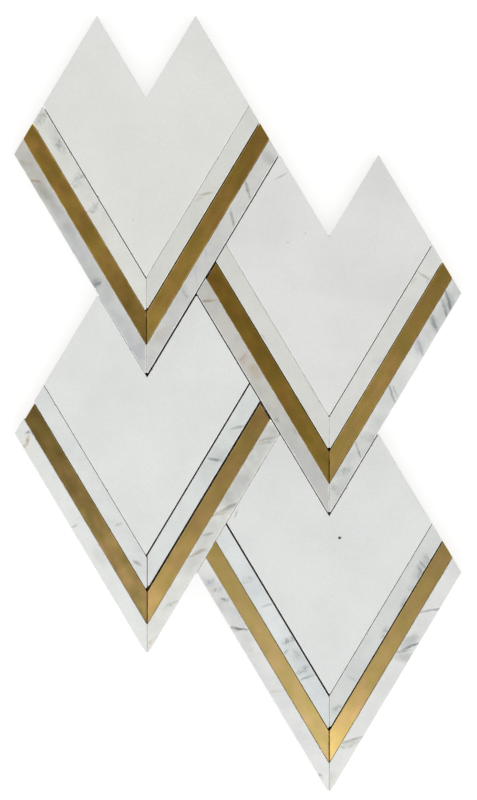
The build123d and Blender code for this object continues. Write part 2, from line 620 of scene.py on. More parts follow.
@dataclass(frozen=True)
class SheetSizes:
    """Sizes of the sheet, in mm and degrees, the same as those of its solids."""

    slope: float = 59.1
    upper_side: float = 100.0
    notch_side: float = 59.5
    outer_width: float = 9.6
    brass_width: float = 9.9
    inner_width: float = 10.4
    back: float = 0.5
    face: float = 10.0
    unit_joint: float = 0.6
    border_mitre: float = 0.2
    brass_mitre: float = 0.5
    stone_bevel: float = 0.35
    brass_bevel: float = 0.2
    strip_blunt: float = 1.5
    field_blunt: float = 0.7
    mesh_margin: float = 2.5

    @property
    def long_side(self) -> float:
        """Length of a unit's lower side."""
        return self.upper_side + self.notch_side

    def run(self, width: float) -> float:
        """Length along one sawn edge that makes a strip of this width along the other."""
        return width / math.sin(2 * math.radians(self.slope))

    def at(self, up_left: float, up_right: float) -> Vector:
        """Plan position of a pair of runs along the sawn edges from a unit's point."""
        slope = math.radians(self.slope)
        return Vector(((up_right - up_left) * math.cos(slope), (up_left + up_right) * math.sin(slope)))


@dataclass
class SawnPiece:
    """One sawn piece of stone or metal, with the small faults of its edges.

    Attributes:
        node: Name of the solid that the piece stands for.
        outline: Corners of the piece in order, in mm.
        back: Height of its back, in mm.
        face: Height of its face, in mm.
        bevel: Size of the eased edge round its face, in mm.
        unevenness: Share by which the eased edge varies.
        chips: Number of small chips out of the eased edge.
        grain: Way that the brush lines of a metal piece run, in degrees from the sheet's width.
        step: Distance between points round the piece, in mm.
    """

    GRAIN_MAP = "along_the_bar"

    # chips keep clear of the corners, and are this large, in mm
    CHIP_CLEAR = 4.0
    CHIP_SIZES = (0.35, 1.1)
    # of a chip's size: where its points lie along the edge, how far in it goes and how deep
    CHIP_POINTS = (-1.0, -0.4, 0.3, 1.0)
    CHIP_REACH = 0.75
    CHIP_DEPTH = 0.9

    # the eased edge varies in slow waves and quick ripples: how many to a mm, and the level of each noise
    WAVE = 0.31
    WAVE_LEVEL = 0.5
    WAVE_SHARE = 0.5
    RIPPLE = 0.9
    RIPPLE_LEVEL = 7.5
    RIPPLE_SHARE = 0.6

    node: str
    outline: list[Vector]
    back: float
    face: float
    bevel: float
    unevenness: float
    chips: int
    grain: float | None = None
    step: float = 2.0

    def rim(self) -> list[tuple[Vector, Vector, float, float]]:
        """Points round the piece, close enough to show its eased edge.

        Returns:
            For each point its place, its inward direction, and how far and how deep the edge is eased.
        """
        luck = random.Random(self.node)
        count = len(self.outline)
        sides = [(self.outline[i], self.outline[(i + 1) % count]) for i in range(count)]
        inward = [Vector((start.y - end.y, end.x - start.x)).normalized() for start, end in sides]
        lengths = [(end - start).length for start, end in sides]
        nicks: dict[int, list[tuple[float, float]]] = {index: [] for index in range(count)}
        room = [max(length - 2 * self.CHIP_CLEAR, 0) for length in lengths]
        for _ in range(self.chips):
            index = luck.choices(range(count), weights=room)[0]
            place = luck.uniform(self.CHIP_CLEAR, lengths[index] - self.CHIP_CLEAR)
            nicks[index].append((place, luck.uniform(*self.CHIP_SIZES)))
        points = []
        for index, (start, end) in enumerate(sides):
            before = inward[index - 1]
            here = inward[index]
            corner = (before + here) / (1 + before.dot(here))
            points.append((start.copy(), corner, self.bevel, self.bevel))
            pieces = max(1, round(lengths[index] / self.step))
            stops = {lengths[index] * part / pieces for part in range(1, pieces)}
            for place, size in nicks[index]:
                stops |= {place + size * point for point in self.CHIP_POINTS}
            for stop in sorted(stops):
                spot = start.lerp(end, stop / lengths[index])
                slow = Vector((spot.x * self.WAVE, spot.y * self.WAVE, self.WAVE_LEVEL))
                quick = Vector((spot.x * self.RIPPLE, spot.y * self.RIPPLE, self.RIPPLE_LEVEL))
                wave = noise.noise(slow)
                ripple = noise.noise(quick)
                ease = self.bevel * (1 + self.unevenness * (wave + self.RIPPLE_SHARE * ripple))
                drop = self.bevel * (1 + self.unevenness * (ripple - self.WAVE_SHARE * wave))
                for place, size in nicks[index]:
                    share = max(0.0, 1 - abs(stop - place) / size)
                    ease += self.CHIP_REACH * size * share
                    drop += self.CHIP_DEPTH * size * share
                points.append((spot, here, ease, drop))
        return points

    def build(self) -> bpy.types.Object:
        """Builds the piece as a closed mesh, in place.

        Returns:
            The new object.
        """
        shape = bmesh.new()
        rings: list[list[bmesh.types.BMVert]] = [[], [], []]
        for spot, inward, ease, drop in self.rim():
            worked = spot + inward * ease
            rings[0].append(shape.verts.new((spot.x * MM, spot.y * MM, self.back * MM)))
            rings[1].append(shape.verts.new((spot.x * MM, spot.y * MM, (self.face - drop) * MM)))
            rings[2].append(shape.verts.new((worked.x * MM, worked.y * MM, self.face * MM)))
        total = len(rings[0])
        for low, high in ((rings[0], rings[1]), (rings[1], rings[2])):
            for i in range(total):
                j = (i + 1) % total
                shape.faces.new((low[i], low[j], high[j], high[i]))
        shape.faces.new(rings[2])
        shape.faces.new(list(reversed(rings[0])))
        shape.normal_update()
        bmesh.ops.triangulate(shape, faces=[face for face in shape.faces if len(face.verts) > 4])
        mesh = bpy.data.meshes.new(f"{self.node}_sawn")
        shape.to_mesh(mesh)
        shape.free()
        if self.grain is not None:
            self.map_grain(mesh, math.radians(self.grain))
        made = bpy.data.objects.new(f"{self.node}_sawn", mesh)
        bpy.context.scene.collection.objects.link(made)
        return made

    def map_grain(self, mesh: bpy.types.Mesh, heading: float) -> None:
        """Gives a metal piece a map whose first direction runs along its brush lines.

        Args:
            mesh: The piece's mesh.
            heading: Way of the brush lines, in radians.
        """
        layer = mesh.uv_layers.new(name=self.GRAIN_MAP)
        for loop in mesh.loops:
            spot = mesh.vertices[loop.vertex_index].co
            along = spot.x * math.cos(heading) + spot.y * math.sin(heading)
            across = spot.y * math.cos(heading) - spot.x * math.sin(heading) + spot.z
            layer.data[loop.index].uv = (along, across)


def blunted(corners: list[Vector], setbacks: dict[int, float]) -> list[Vector]:
    """Cuts off some corners of an outline.

    Args:
        corners: The outline's corners in order.
        setbacks: Corner number to how far back along both of its edges it is cut, in mm.

    Returns:
        The new outline.
    """
    outline = []
    for index, corner in enumerate(corners):
        setback = setbacks.get(index, 0.0)
        if not setback:
            outline.append(corner)
            continue
        for other in (corners[index - 1], corners[(index + 1) % len(corners)]):
            outline.append(corner + (other - corner).normalized() * setback)
    return outline


@dataclass
class ChevronUnit:
    """One unit of the sheet: a white field with three V strips along its point.

    Attributes:
        letter: Which unit of the sheet it is.
        point: Place of its bottom point on the sheet, in mm.
        joints: Joints of each half, from the outer border to the field, in mm.
        inner_mitre: Joint at the mitre of its inner border, in mm.
        field_stone: Finish of its field.
        border_stones: Finish of each border strip.
        sizes: The sheet's sizes.
    """

    STONE_UNEVENNESS = 0.45
    BRASS_UNEVENNESS = 0.15
    STRIP_CHIPS = 7
    FIELD_CHIPS = 12

    # how far apart the marks of the bars lie, from unit to unit and from the right half to the left, in mm
    BAR_SHIFT = 170.0
    HALF_SHIFT = 60.0

    letter: str
    point: tuple[float, float]
    joints: dict[Side, tuple[float, float, float]]
    inner_mitre: float
    field_stone: WhiteMarble
    border_stones: dict[tuple[Band, Side], VeinedMarble]
    sizes: SheetSizes = field(default_factory=SheetSizes)

    def starts(self, side: Side) -> dict[Band, float]:
        """Distance of each strip's outer edge from the unit's edge, on one half, in mm."""
        to_brass, to_inner, _ = self.joints[side]
        brass = self.sizes.outer_width + to_brass
        return {Band.OUTER: 0.0, Band.BRASS: brass, Band.INNER: brass + self.sizes.brass_width + to_inner}

    def field_start(self, side: Side) -> float:
        """Distance of the field from the unit's edge on one half, in mm."""
        return self.starts(side)[Band.INNER] + self.sizes.inner_width + self.joints[side][2]

    def heading(self, side: Side) -> float:
        """Way that one half's strips run, in degrees from the sheet's width."""
        return 180 - self.sizes.slope if side is Side.LEFT else self.sizes.slope

    def placed(self, runs: list[tuple[float, float]]) -> list[Vector]:
        """Corners on the sheet from runs along the unit's sawn edges, turned to go round to the left.

        Args:
            runs: Pairs of runs from the unit's point.

        Returns:
            The corners in mm, anticlockwise.
        """
        corners = [self.sizes.at(*pair) + Vector(self.point) for pair in runs]
        area = sum(a.x * b.y - b.x * a.y for a, b in zip(corners, corners[1:] + corners[:1]))
        return corners if area > 0 else [corners[0]] + corners[:0:-1]

    def strip(self, band: Band, side: Side) -> SawnPiece:
        """Sets out one half of a V strip.

        Args:
            band: Which of the three strips.
            side: Which half.

        Returns:
            The piece, ready to build.
        """
        sizes = self.sizes
        width, mitre = {
            Band.OUTER: (sizes.outer_width, sizes.border_mitre),
            Band.BRASS: (sizes.brass_width, sizes.brass_mitre),
            Band.INNER: (sizes.inner_width, self.inner_mitre),
        }[band]
        start = sizes.run(self.starts(side)[band])
        end = start + sizes.run(width)
        clear = mitre / (2 * math.cos(math.radians(sizes.slope)))
        metal = band is Band.BRASS
        cut = BAR_CUTS.get(f"{side.value}_{self.letter}", 0.0) if metal else 0.0
        reach = sizes.long_side - cut
        runs = [(start + clear, start), (reach, start), (reach, end), (end + clear, end)]
        if side is Side.RIGHT:
            runs = [(second, first) for first, second in runs]
        node = f"{band.value}_{side.value}_{self.letter}"
        corners = self.placed(runs)
        if metal:
            return SawnPiece(node, corners, sizes.back, sizes.face, sizes.brass_bevel,
                             self.BRASS_UNEVENNESS, 0, self.heading(side))
        outline = blunted(corners, {0: sizes.strip_blunt})
        return SawnPiece(node, outline, sizes.back, sizes.face, sizes.stone_bevel, self.STONE_UNEVENNESS,
                         self.STRIP_CHIPS)

    def field_piece(self) -> SawnPiece:
        """Sets out the field with its notch.

        Returns:
            The piece, ready to build.
        """
        sizes = self.sizes
        left = sizes.run(self.field_start(Side.LEFT))
        right = sizes.run(self.field_start(Side.RIGHT))
        runs = [
            (right, left),
            (right, sizes.long_side),
            (sizes.upper_side, sizes.long_side),
            (sizes.upper_side, sizes.upper_side),
            (sizes.long_side, sizes.upper_side),
            (sizes.long_side, left),
        ]
        blunt = sizes.field_blunt
        outline = blunted(self.placed(runs), {0: blunt, 2: blunt, 4: blunt})
        return SawnPiece(f"white_field_{self.letter}", outline, sizes.back, sizes.face, sizes.stone_bevel,
                         self.STONE_UNEVENNESS, self.FIELD_CHIPS)

    def brass(self, side: Side) -> BrushedBrass:
        """Finish of one half's brass bar.

        Args:
            side: Which half.

        Returns:
            The finish, with its marks and its painted light and shade in their places along the bar.
        """
        key = f"{side.value}_{self.letter}"
        shift = self.BAR_SHIFT * LETTERS.index(self.letter)
        if side is Side.LEFT:
            shift += self.HALF_SHIFT
        heading = math.radians(self.heading(side))
        start = Vector(self.point).dot(Vector((math.cos(heading), math.sin(heading))))
        return BrushedBrass(f"brushed_brass_{key}", self.heading(side), shift, start, *BAR_TONES[key])

    def dress(self, piece: SawnPiece, finish: WhiteMarble | VeinedMarble | BrushedBrass) -> None:
        """Builds one piece, gives it its finish and hangs it on the sheet in place of its solid.

        Args:
            piece: The piece to build.
            finish: Its finish.
        """
        made = piece.build()
        made.data.materials.append(finish.material())
        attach(made, "root")
        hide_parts(piece.node)
        LOG.info("%s: %d faces", made.name, len(made.data.polygons))

    def build(self) -> None:
        """Builds and dresses the unit's seven pieces."""
        self.dress(self.field_piece(), self.field_stone)
        for side in Side:
            for band in Band:
                piece = self.strip(band, side)
                if band is Band.BRASS:
                    self.dress(piece, self.brass(side))
                else:
                    self.dress(piece, self.border_stones[(band, side)])


@dataclass
class MeshBacking:
    """The open net of glass-fibre yarn that the pieces are bonded to.

    Attributes:
        spacing: Distance from yarn to yarn, in mm.
        yarn_width: Width of a yarn, in mm.
        yarn_height: Thickness of a yarn, in mm.
        lift: How far a yarn rises and dips where it crosses another, in mm.
        reach: Side of the square of weave that the net is cut from, in mm.
        sizes: The sheet's sizes.
    """

    # a ray goes down from above each crossing, to tell whether it lies inside the outline, in mm
    RAY_START = 10.0
    RAY_LENGTH = 50.0
    YARN_SIDES = 6

    spacing: float = 5.0
    yarn_width: float = 0.8
    yarn_height: float = 0.22
    lift: float = 0.12
    reach: float = 500.0
    sizes: SheetSizes = field(default_factory=SheetSizes)

    def tree(self) -> Tree:
        """Builds the node tree that weaves the net inside an outline.

        Returns:
            The geometry node tree, with named inputs for its sizes.
        """
        made = bpy.data.node_groups.new("woven_net", "GeometryNodeTree")
        made.interface.new_socket("Geometry", in_out="INPUT", socket_type="NodeSocketGeometry")
        for label in ("Spacing", "Yarn Width", "Yarn Height", "Lift", "Reach"):
            made.interface.new_socket(label, in_out="INPUT", socket_type="NodeSocketFloat")
        made.interface.new_socket("Yarn", in_out="INPUT", socket_type="NodeSocketMaterial")
        made.interface.new_socket("Geometry", in_out="OUTPUT", socket_type="NodeSocketGeometry")
        given = add_node(made, "NodeGroupInput").outputs

        # a square grid, of which the crossings inside the outline are kept
        apart = given["Spacing"]
        count = add_node(made, "ShaderNodeMath", {0: given["Reach"], 1: apart}, operation="DIVIDE")
        whole = add_node(made, "ShaderNodeMath", {0: count.outputs[0]}, operation="ROUND").outputs[0]
        side = add_node(made, "ShaderNodeMath", {0: whole, 1: apart}, operation="MULTIPLY").outputs[0]
        knots = add_node(made, "ShaderNodeMath", {0: whole, 1: 1.0}, operation="ADD").outputs[0]
        grid = add_node(made, "GeometryNodeMeshGrid", {
            "Size X": side, "Size Y": side, "Vertices X": knots, "Vertices Y": knots})
        place = add_node(made, "GeometryNodeInputPosition").outputs[0]
        above = add_node(made, "ShaderNodeVectorMath", {0: place, 1: (0.0, 0.0, self.RAY_START * MM)},
                         operation="ADD")
        ray = add_node(made, "GeometryNodeRaycast", {
            "Target Geometry": given["Geometry"], "Source Position": above.outputs[0],
            "Ray Direction": (0.0, 0.0, -1.0), "Ray Length": self.RAY_LENGTH * MM})
        outside = add_node(made, "FunctionNodeBooleanMath", {0: ray.outputs["Is Hit"]}, operation="NOT")
        kept = add_node(made, "GeometryNodeDeleteGeometry", {
            "Geometry": grid.outputs["Mesh"], "Selection": outside.outputs[0]}, domain="POINT")

        # its edges part into yarns that run across the sheet and yarns that run along it
        ends = add_node(made, "GeometryNodeInputMeshEdgeVertices").outputs
        across = add_node(made, "ShaderNodeVectorMath", {0: ends["Position 1"], 1: ends["Position 2"]},
                          operation="SUBTRACT")
        parts = add_node(made, "ShaderNodeSeparateXYZ", {0: across.outputs[0]})
        size = add_node(made, "ShaderNodeMath", {0: parts.outputs["X"]}, operation="ABSOLUTE")
        half = add_node(made, "ShaderNodeMath", {0: apart, 1: 0.5}, operation="MULTIPLY")
        level = add_node(made, "FunctionNodeCompare", {0: size.outputs[0], 1: half.outputs[0]},
                         operation="GREATER_THAN")
        ways = add_node(made, "GeometryNodeSeparateGeometry", {
            "Geometry": kept.outputs[0], "Selection": level.outputs[0]}, domain="EDGE")

        # each yarn goes over one crossing and under the next
        spot = add_node(made, "ShaderNodeSeparateXYZ", {0: place})
        turn = add_node(made, "ShaderNodeMath", {0: math.pi, 1: apart}, operation="DIVIDE").outputs[0]
        waves = []
        for axis in ("X", "Y"):
            angle = add_node(made, "ShaderNodeMath", {0: spot.outputs[axis], 1: turn}, operation="MULTIPLY")
            wave = add_node(made, "ShaderNodeMath", {0: angle.outputs[0]}, operation="COSINE")
            waves.append(wave.outputs[0])
        weave = add_node(made, "ShaderNodeMath", {0: waves[0], 1: waves[1]}, operation="MULTIPLY")
        profile = add_node(made, "GeometryNodeCurvePrimitiveCircle", {
            "Resolution": self.YARN_SIDES, "Radius": 0.5})
        flat = add_node(made, "ShaderNodeCombineXYZ", {
            "X": given["Yarn Width"], "Y": given["Yarn Height"], "Z": 1.0})
        section = add_node(made, "GeometryNodeTransform", {
            "Geometry": profile.outputs["Curve"], "Scale": flat.outputs[0]})
        join = add_node(made, "GeometryNodeJoinGeometry")
        for half_set, sign in ((ways.outputs["Selection"], 1.0), (ways.outputs["Inverted"], -1.0)):
            curve = add_node(made, "GeometryNodeMeshToCurve", {"Mesh": half_set})
            rise = add_node(made, "ShaderNodeMath", {0: given["Lift"], 1: sign}, operation="MULTIPLY")
            bend = add_node(made, "ShaderNodeMath", {0: weave.outputs[0], 1: rise.outputs[0]},
                            operation="MULTIPLY")
            offset = add_node(made, "ShaderNodeCombineXYZ", {"Z": bend.outputs[0]})
            wavy = add_node(made, "GeometryNodeSetPosition", {
                "Geometry": curve.outputs[0], "Offset": offset.outputs[0]})
            upright = add_node(made, "GeometryNodeSetCurveNormal", {"Curve": wavy.outputs[0]}, mode="Z_UP")
            yarn = add_node(made, "GeometryNodeCurveToMesh", {
                "Curve": upright.outputs[0], "Profile Curve": section.outputs[0], "Fill Caps": True})
            made.links.new(yarn.outputs[0], join.inputs[0])
        solid = add_node(made, "GeometryNodeRealizeInstances", {"Geometry": join.outputs[0]})
        named = add_node(made, "GeometryNodeSetMaterial", {
            "Geometry": solid.outputs[0], "Material": given["Yarn"]})
        add_node(made, "NodeGroupOutput", {"Geometry": named.outputs[0]})
        return made

    def outline(self) -> list[Vector]:
        """Outline of the net, kept back from the edges of the four units.

        Returns:
            The corners in mm, in the lattice of the first unit.
        """
        sizes = self.sizes
        inset = sizes.run(sizes.mesh_margin) + sizes.run(self.yarn_width / 2)
        joint = sizes.run(sizes.unit_joint)
        down = sizes.upper_side + joint
        across = sizes.long_side + joint
        notch = sizes.notch_side
        far = notch + joint
        runs = [
            (sizes.long_side - inset, sizes.upper_side - inset),
            (sizes.upper_side - inset, sizes.upper_side - inset),
            (sizes.upper_side - inset, sizes.long_side - inset),
            (-far - inset, sizes.long_side - inset),
            (-far - inset, sizes.long_side + notch - inset),
            (inset - across, sizes.long_side + notch - inset),
            (inset - across, 2 * notch - joint - inset),
            (inset - across - down, 2 * notch - joint - inset),
            (inset - across - down, notch - down + inset),
            (inset - down, notch - down + inset),
            (inset - down, inset - down),
            (notch - joint - inset, inset - down),
            (notch - joint - inset, inset),
            (sizes.long_side - inset, inset),
        ]
        return [sizes.at(*pair) for pair in runs]

    def build(self, point: tuple[float, float], yarn: GlassYarn) -> None:
        """Weaves the net, and hangs it on the sheet in place of its solid.

        Args:
            point: Place of the first unit's point on the sheet, in mm, without its own shift.
            yarn: Finish of the yarn.
        """
        middle = self.sizes.back / 2
        shape = bmesh.new()
        corners = [shape.verts.new(((spot.x + point[0]) * MM, (spot.y + point[1]) * MM, middle * MM))
                   for spot in self.outline()]
        plan = shape.faces.new(corners)
        shape.normal_update()
        bmesh.ops.triangulate(shape, faces=[plan])
        base = bpy.data.meshes.new("net_outline")
        shape.to_mesh(base)
        shape.free()
        cut = bpy.data.objects.new("net_outline", base)
        bpy.context.scene.collection.objects.link(cut)
        tree = self.tree()
        weave = cut.modifiers.new("weave", "NODES")
        weave.node_group = tree
        finish = yarn.material()
        wanted = {
            "Spacing": self.spacing * MM,
            "Yarn Width": self.yarn_width * MM,
            "Yarn Height": self.yarn_height * MM,
            "Lift": self.lift * MM,
            "Reach": self.reach * MM,
            "Yarn": finish,
        }
        for item in tree.interface.items_tree:
            if item.in_out == "INPUT" and item.name in wanted:
                weave[item.identifier] = wanted[item.name]
        woven = bpy.data.meshes.new_from_object(cut.evaluated_get(bpy.context.evaluated_depsgraph_get()))
        bpy.data.objects.remove(cut)
        for vert in woven.vertices:
            vert.co.z += middle * MM
        net = bpy.data.objects.new("glass_fibre_net", woven)
        bpy.context.scene.collection.objects.link(net)
        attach(net, "root")
        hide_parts("mesh_backing")
        LOG.info("%s: %d faces", net.name, len(woven.polygons))


@dataclass
class Studio:
    """Plain pale floor, soft light and a camera that looks straight down.

    Attributes:
        lens: Focal length in mm.
        sensor: Long side of the camera's picture area, in mm.
        view_height: What the picture's long side takes in, in mm.
        centre: Point under the camera, in mm.
        floor_reach: How far the floor goes each way, in metres.
        floor_level: Height of the floor, in mm.
        paper: Colour of the floor.
        paper_glow: Light that the floor gives, which makes it paper white.
        joint_shade: Colour of the painted shade on the floor where it is closed in.
        wall_light: Light from the walls, where 1 is white.
        ceiling_light: Light from the ceiling, darker and warmer.
        ceiling_way: Where the middle of the ceiling lies, as seen from the sheet.
        ceiling_span: How far the even part and the edge of the ceiling lie from its middle, in degrees.
        lamp_place: Place of the soft box, in metres.
        lamp_size: Its width and length, in metres.
        lamp_light: How bright its face looks, where 1 is white.
    """

    # the floor counts as closed in up to the first share of open sky, and as open from the second
    CLOSED_IN = 0.29
    OPEN = 0.39
    CLOSE_RANGE = 4.0

    lens: float = 85.0
    sensor: float = 36.0
    view_height: float = 494.9
    centre: tuple[float, float] = (0.46, 2.44)
    floor_reach: float = 4.0
    floor_level: float = -0.4
    paper: str = "8e8e8e"
    paper_glow: float = 0.78
    joint_shade: str = "5e5953"
    wall_light: tuple[float, float, float, float] = (1.14, 1.15, 1.18, 1.0)
    ceiling_light: tuple[float, float, float, float] = (0.2, 0.15, 0.05, 1.0)
    ceiling_way: tuple[float, float, float] = (-0.08, 0.45, 1.0)
    ceiling_span: tuple[float, float] = (24.0, 48.0)
    lamp_place: tuple[float, float, float] = (0.15, -1.63, 2.52)
    lamp_size: tuple[float, float] = (2.4, 2.2)
    lamp_light: float = 1.45

    def floor(self) -> None:
        """Lays a white floor that shows as paper white, still takes the sheet's shadow, and has painted
        shade where the pieces close it in.
        """
        reach = self.floor_reach
        level = self.floor_level * MM
        corners = [(x * reach, y * reach, level) for x, y in ((-1, -1), (1, -1), (1, 1), (-1, 1))]
        mesh = bpy.data.meshes.new("floor")
        mesh.from_pydata(corners, [], [(0, 1, 2, 3)])
        made = bpy.data.objects.new("floor", mesh)
        bpy.context.scene.collection.objects.link(made)
        paint, tree, shader = new_finish("white_paper_floor")
        tree.nodes.remove(shader)
        path = add_node(tree, "ShaderNodeLightPath").outputs
        seen = add_node(tree, "ShaderNodeMath", {0: path["Is Camera Ray"], 1: path["Is Glossy Ray"]},
                        operation="ADD")
        shown = add_node(tree, "ShaderNodeMath", {0: seen.outputs[0], 1: path["Is Transmission Ray"]},
                         operation="ADD", use_clamp=True)
        # painted shade: where the pieces close the floor in, its colour turns to the joint shade and its
        # glow goes out, so the joints between the pieces stay dark
        sky = add_node(tree, "ShaderNodeAmbientOcclusion", {"Distance": self.CLOSE_RANGE * MM}, samples=32)
        opened = add_node(tree, "ShaderNodeMapRange", {
            "Value": sky.outputs["AO"], "From Min": self.CLOSED_IN, "From Max": self.OPEN})
        clear = opened.outputs["Result"]
        shade = add_node(tree, "ShaderNodeMix", {
            0: clear, 6: linear(self.joint_shade), 7: linear(self.paper)}, data_type="RGBA")
        light = add_node(tree, "ShaderNodeMath", {0: shown.outputs[0], 1: self.paper_glow},
                         operation="MULTIPLY")
        glow = add_node(tree, "ShaderNodeMath", {0: light.outputs[0], 1: clear}, operation="MULTIPLY")
        diffuse = add_node(tree, "ShaderNodeBsdfDiffuse", {"Color": shade.outputs[2]})
        bright = add_node(tree, "ShaderNodeEmission", {"Strength": glow.outputs[0]})
        both = add_node(tree, "ShaderNodeAddShader", {0: diffuse.outputs[0], 1: bright.outputs[0]})
        tree.links.new(both.outputs[0], tree.nodes["Material Output"].inputs["Surface"])
        made.data.materials.append(paint)

    def room(self) -> None:
        """Lights the sheet from a pale room with a darker, warmer ceiling above the camera."""
        world = bpy.data.worlds.new("studio_room")
        bpy.context.scene.world = world
        world.use_nodes = True
        tree = world.node_tree
        way = add_node(tree, "ShaderNodeTexCoord")
        facing = add_node(tree, "ShaderNodeVectorMath", {
            0: way.outputs["Generated"], 1: Vector(self.ceiling_way).normalized()}, operation="DOT_PRODUCT")
        even, edge = [math.cos(math.radians(angle)) for angle in self.ceiling_span]
        near = add_node(tree, "ShaderNodeMapRange", {
            "Value": facing.outputs["Value"], "From Min": edge, "From Max": even},
            interpolation_type="SMOOTHSTEP")
        tone = add_node(tree, "ShaderNodeMix", {
            0: near.outputs["Result"], 6: self.wall_light, 7: self.ceiling_light}, data_type="RGBA")
        path = add_node(tree, "ShaderNodeLightPath")
        shown = add_node(tree, "ShaderNodeMix", {
            0: path.outputs["Is Camera Ray"], 6: tone.outputs[2], 7: linear("ffffff")}, data_type="RGBA")
        tree.links.new(shown.outputs[2], tree.nodes["Background"].inputs["Color"])

    def lamp(self) -> None:
        """Adds a soft box that faces the sheet."""
        width, length = self.lamp_size
        data = bpy.data.lights.new("window_light", "AREA")
        data.shape = "RECTANGLE"
        data.size = width
        data.size_y = length
        data.energy = self.lamp_light * math.pi * width * length
        made = bpy.data.objects.new("window_light", data)
        made.location = self.lamp_place
        made.rotation_euler = (-Vector(self.lamp_place)).to_track_quat("-Z", "Y").to_euler()
        bpy.context.scene.collection.objects.link(made)

    def camera(self) -> None:
        """Sets the camera above the sheet, with the sheet's length up the picture."""
        data = bpy.data.cameras.new("camera")
        data.lens = self.lens
        data.sensor_width = self.sensor
        made = bpy.data.objects.new("camera", data)
        height = self.view_height * self.lens / self.sensor + SheetSizes().face
        made.location = (self.centre[0] * MM, self.centre[1] * MM, height * MM)
        bpy.context.scene.collection.objects.link(made)
        bpy.context.scene.camera = made

    def build(self) -> None:
        """Sets up the whole studio."""
        bpy.context.scene.view_settings.view_transform = "Standard"
        self.floor()
        self.room()
        self.lamp()
        self.camera()


